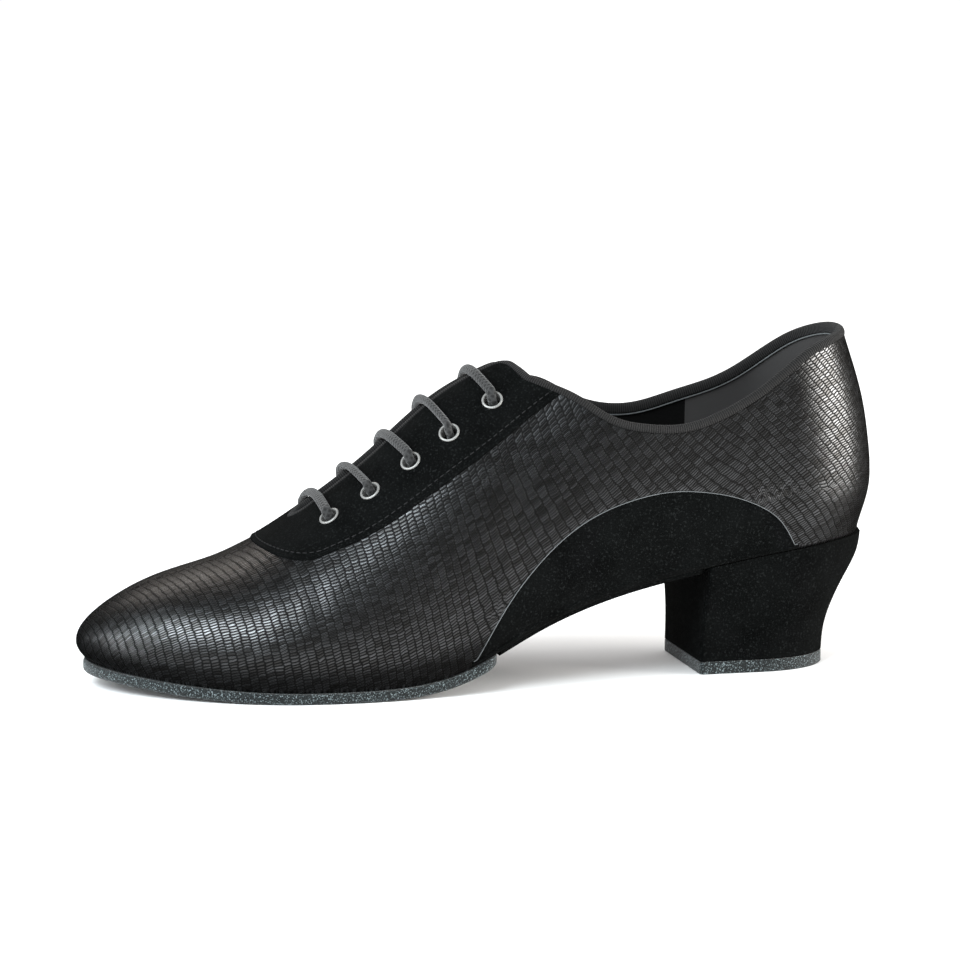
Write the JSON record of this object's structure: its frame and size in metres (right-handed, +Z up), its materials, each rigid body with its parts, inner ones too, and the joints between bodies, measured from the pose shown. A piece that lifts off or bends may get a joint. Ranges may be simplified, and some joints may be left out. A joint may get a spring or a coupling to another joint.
{
  "type": "laced ballroom dance shoe",
  "caption": "Low laced leather dance shoe with suede facing and arch panels, bound collar, suede split sole and covered block heel.",
  "frame": {"origin": "centre of the bounding box in plan, on the floor under the shoe", "axes": "+X towards the heel, -X towards the toe, -Y towards the outer side of the left foot, +Z up"},
  "size_m": [0.25, 0.0852, 0.1065],
  "materials": {
    "upper_leather": "black leather embossed with a small lizard grain, glossy with a pearly sheen",
    "black_suede": "black suede, matt, short nap",
    "binding": "dark grey ribbed grosgrain",
    "lining": "dark grey smooth lining leather, matt",
    "sole_suede": "grey-green chrome suede split leather, rough",
    "eyelet": "nickel, satin",
    "lace": "dark grey round woven cord"
  },
  "bodies": {
    "root": {"upper": "upper_leather", "outsole": "sole_suede", "insole": "lining", "tongue": "black_suede", "eyestay": "black_suede", "arch_panel_outer": "black_suede", "arch_panel_inner": "black_suede", "collar_binding": "binding", "waist_cover": "black_suede", "heel": "black_suede", "heel_top_piece": "sole_suede", "eyelet_outer_1": "eyelet", "eyelet_inner_1": "eyelet", "lace_bar_1": "lace", "eyelet_outer_2": "eyelet", "eyelet_inner_2": "eyelet", "lace_bar_2": "lace", "eyelet_outer_3": "eyelet", "eyelet_inner_3": "eyelet", "lace_bar_3": "lace", "eyelet_outer_4": "eyelet", "eyelet_inner_4": "eyelet", "lace_bar_4": "lace", "eyelet_outer_5": "eyelet", "eyelet_inner_5": "eyelet", "lace_bar_5": "lace"}
  },
  "joints": []
}
